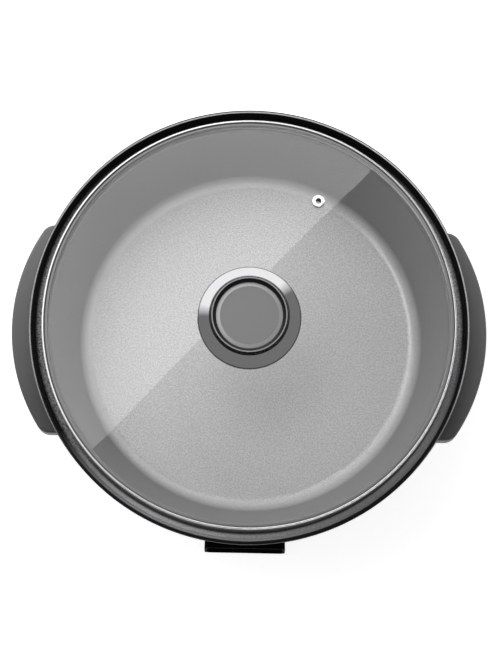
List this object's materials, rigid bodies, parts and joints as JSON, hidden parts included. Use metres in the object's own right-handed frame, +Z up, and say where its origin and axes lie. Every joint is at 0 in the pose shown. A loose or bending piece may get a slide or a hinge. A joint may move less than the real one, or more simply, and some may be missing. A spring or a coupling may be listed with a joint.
{
  "type": "electric hot pot",
  "caption": "Round shallow electric hot pot with a sloping wall, two side handles on legs, a plug-in thermostat socket and a lift-off glass lid with a round knob.",
  "frame": {"origin": "on the table under the middle of the pan, on the axis that the pan and the lid share", "axes": "+Z up along the pan's axis, +X towards the right handle, -Y towards the thermostat socket"},
  "size_m": [0.4564, 0.4198, 0.1887],
  "materials": {
    "pan_coat": "dark grey non-stick coat with fine metallic flecks",
    "element_steel": "oxidised stainless sheath",
    "ceramic": "matt steatite",
    "pin_steel": "nickel plated",
    "plate_steel": "bare stainless sheet",
    "guard_plastic": "black heat-proof moulding",
    "screw_steel": "zinc plated",
    "handle_plastic": "satin dark grey thermoset",
    "foot_rubber": "matt black rubber",
    "lid_glass": "clear tempered glass",
    "rim_steel": "polished stainless band",
    "chrome": "bright chrome",
    "silicone": "black silicone",
    "knob_plastic": "glossy black thermoset",
    "cap_aluminium": "satin grey, bare",
    "brass": "plain"
  },
  "bodies": {
    "pan": {"pan_body": "pan_coat", "heating_element": "element_steel", "terminal_insulator_left": "ceramic", "terminal_insulator_right": "ceramic", "terminal_pin_left": "pin_steel", "terminal_pin_right": "pin_steel", "probe_sleeve": "pin_steel", "earth_plate": "plate_steel", "socket_guard": "guard_plastic", "guard_screws": "screw_steel", "handle_left": "handle_plastic", "handle_right": "handle_plastic", "handle_screws_left": "screw_steel", "handle_screws_right": "screw_steel", "handle_washers_left": "screw_steel", "handle_washers_right": "screw_steel", "foot_pads_left": "foot_rubber", "foot_pads_right": "foot_rubber"},
    "lid": {"lid_glass": "lid_glass", "lid_rim": "rim_steel", "vent_eyelet": "chrome", "vent_gasket": "silicone", "knob_skirt": "chrome", "knob_spacer": "guard_plastic", "knob_body": "knob_plastic", "knob_cap": "cap_aluminium", "knob_insert": "brass", "knob_gasket": "silicone", "knob_washer": "screw_steel", "knob_screw": "screw_steel"}
  },
  "joints": [
    {"name": "lid_lift", "type": "slide", "parent": "pan", "child": "lid", "axis": [0, 0, 1], "range_m": [0, 0.12]}
  ]
}
